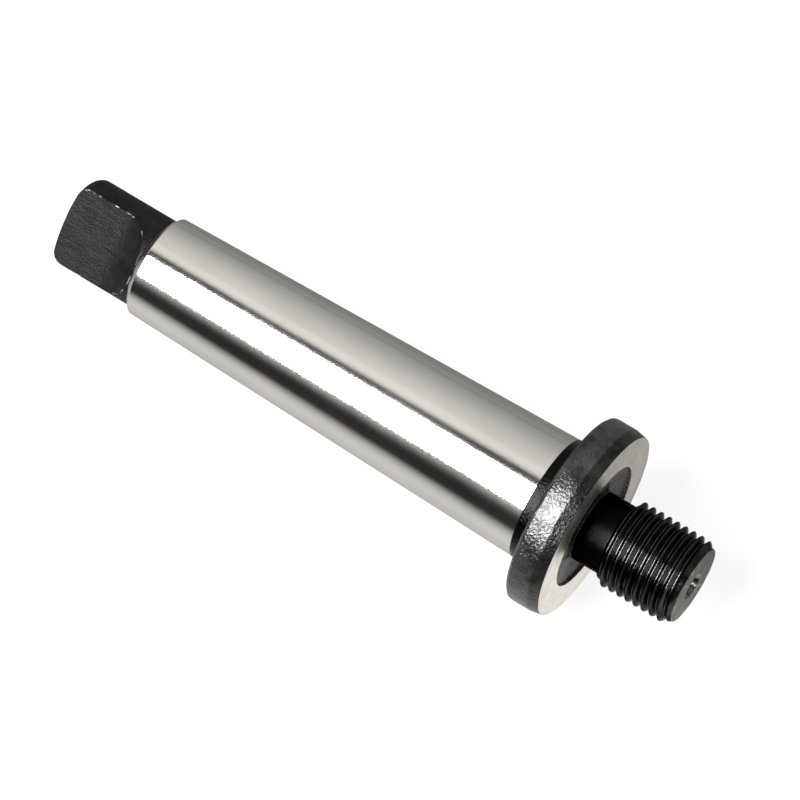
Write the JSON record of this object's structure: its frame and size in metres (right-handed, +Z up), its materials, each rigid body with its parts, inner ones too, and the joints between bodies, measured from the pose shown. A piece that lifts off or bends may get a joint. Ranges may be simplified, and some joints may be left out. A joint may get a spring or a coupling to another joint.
{
  "type": "threaded taper arbor",
  "caption": "Steel Morse taper arbor with a flat-sided drive tang, a ground taper shank, a black collar with a ground face, and a threaded nose.",
  "frame": {"origin": "centre of the Morse taper's gauge plane, on the arbor's centre line", "axes": "+X along the centre line towards the threaded nose, +Z up as the arbor lies on a bench, with the tang's upper flat turned halfway from +Z to -Y"},
  "size_m": [0.1004, 0.028, 0.028],
  "materials": {
    "black_milled_steel": "matte black heat-treated steel with milling lines",
    "ground_steel": "bright cylindrically ground steel",
    "black_scaled_steel": "black scaled steel with a pebbled rim and a bright ground register face",
    "black_thread_steel": "glossy oiled black steel"
  },
  "bodies": {
    "root": {"drive_tang": "black_milled_steel", "taper_shank": "ground_steel", "collar": "black_scaled_steel", "threaded_nose": "black_thread_steel"}
  },
  "joints": []
}
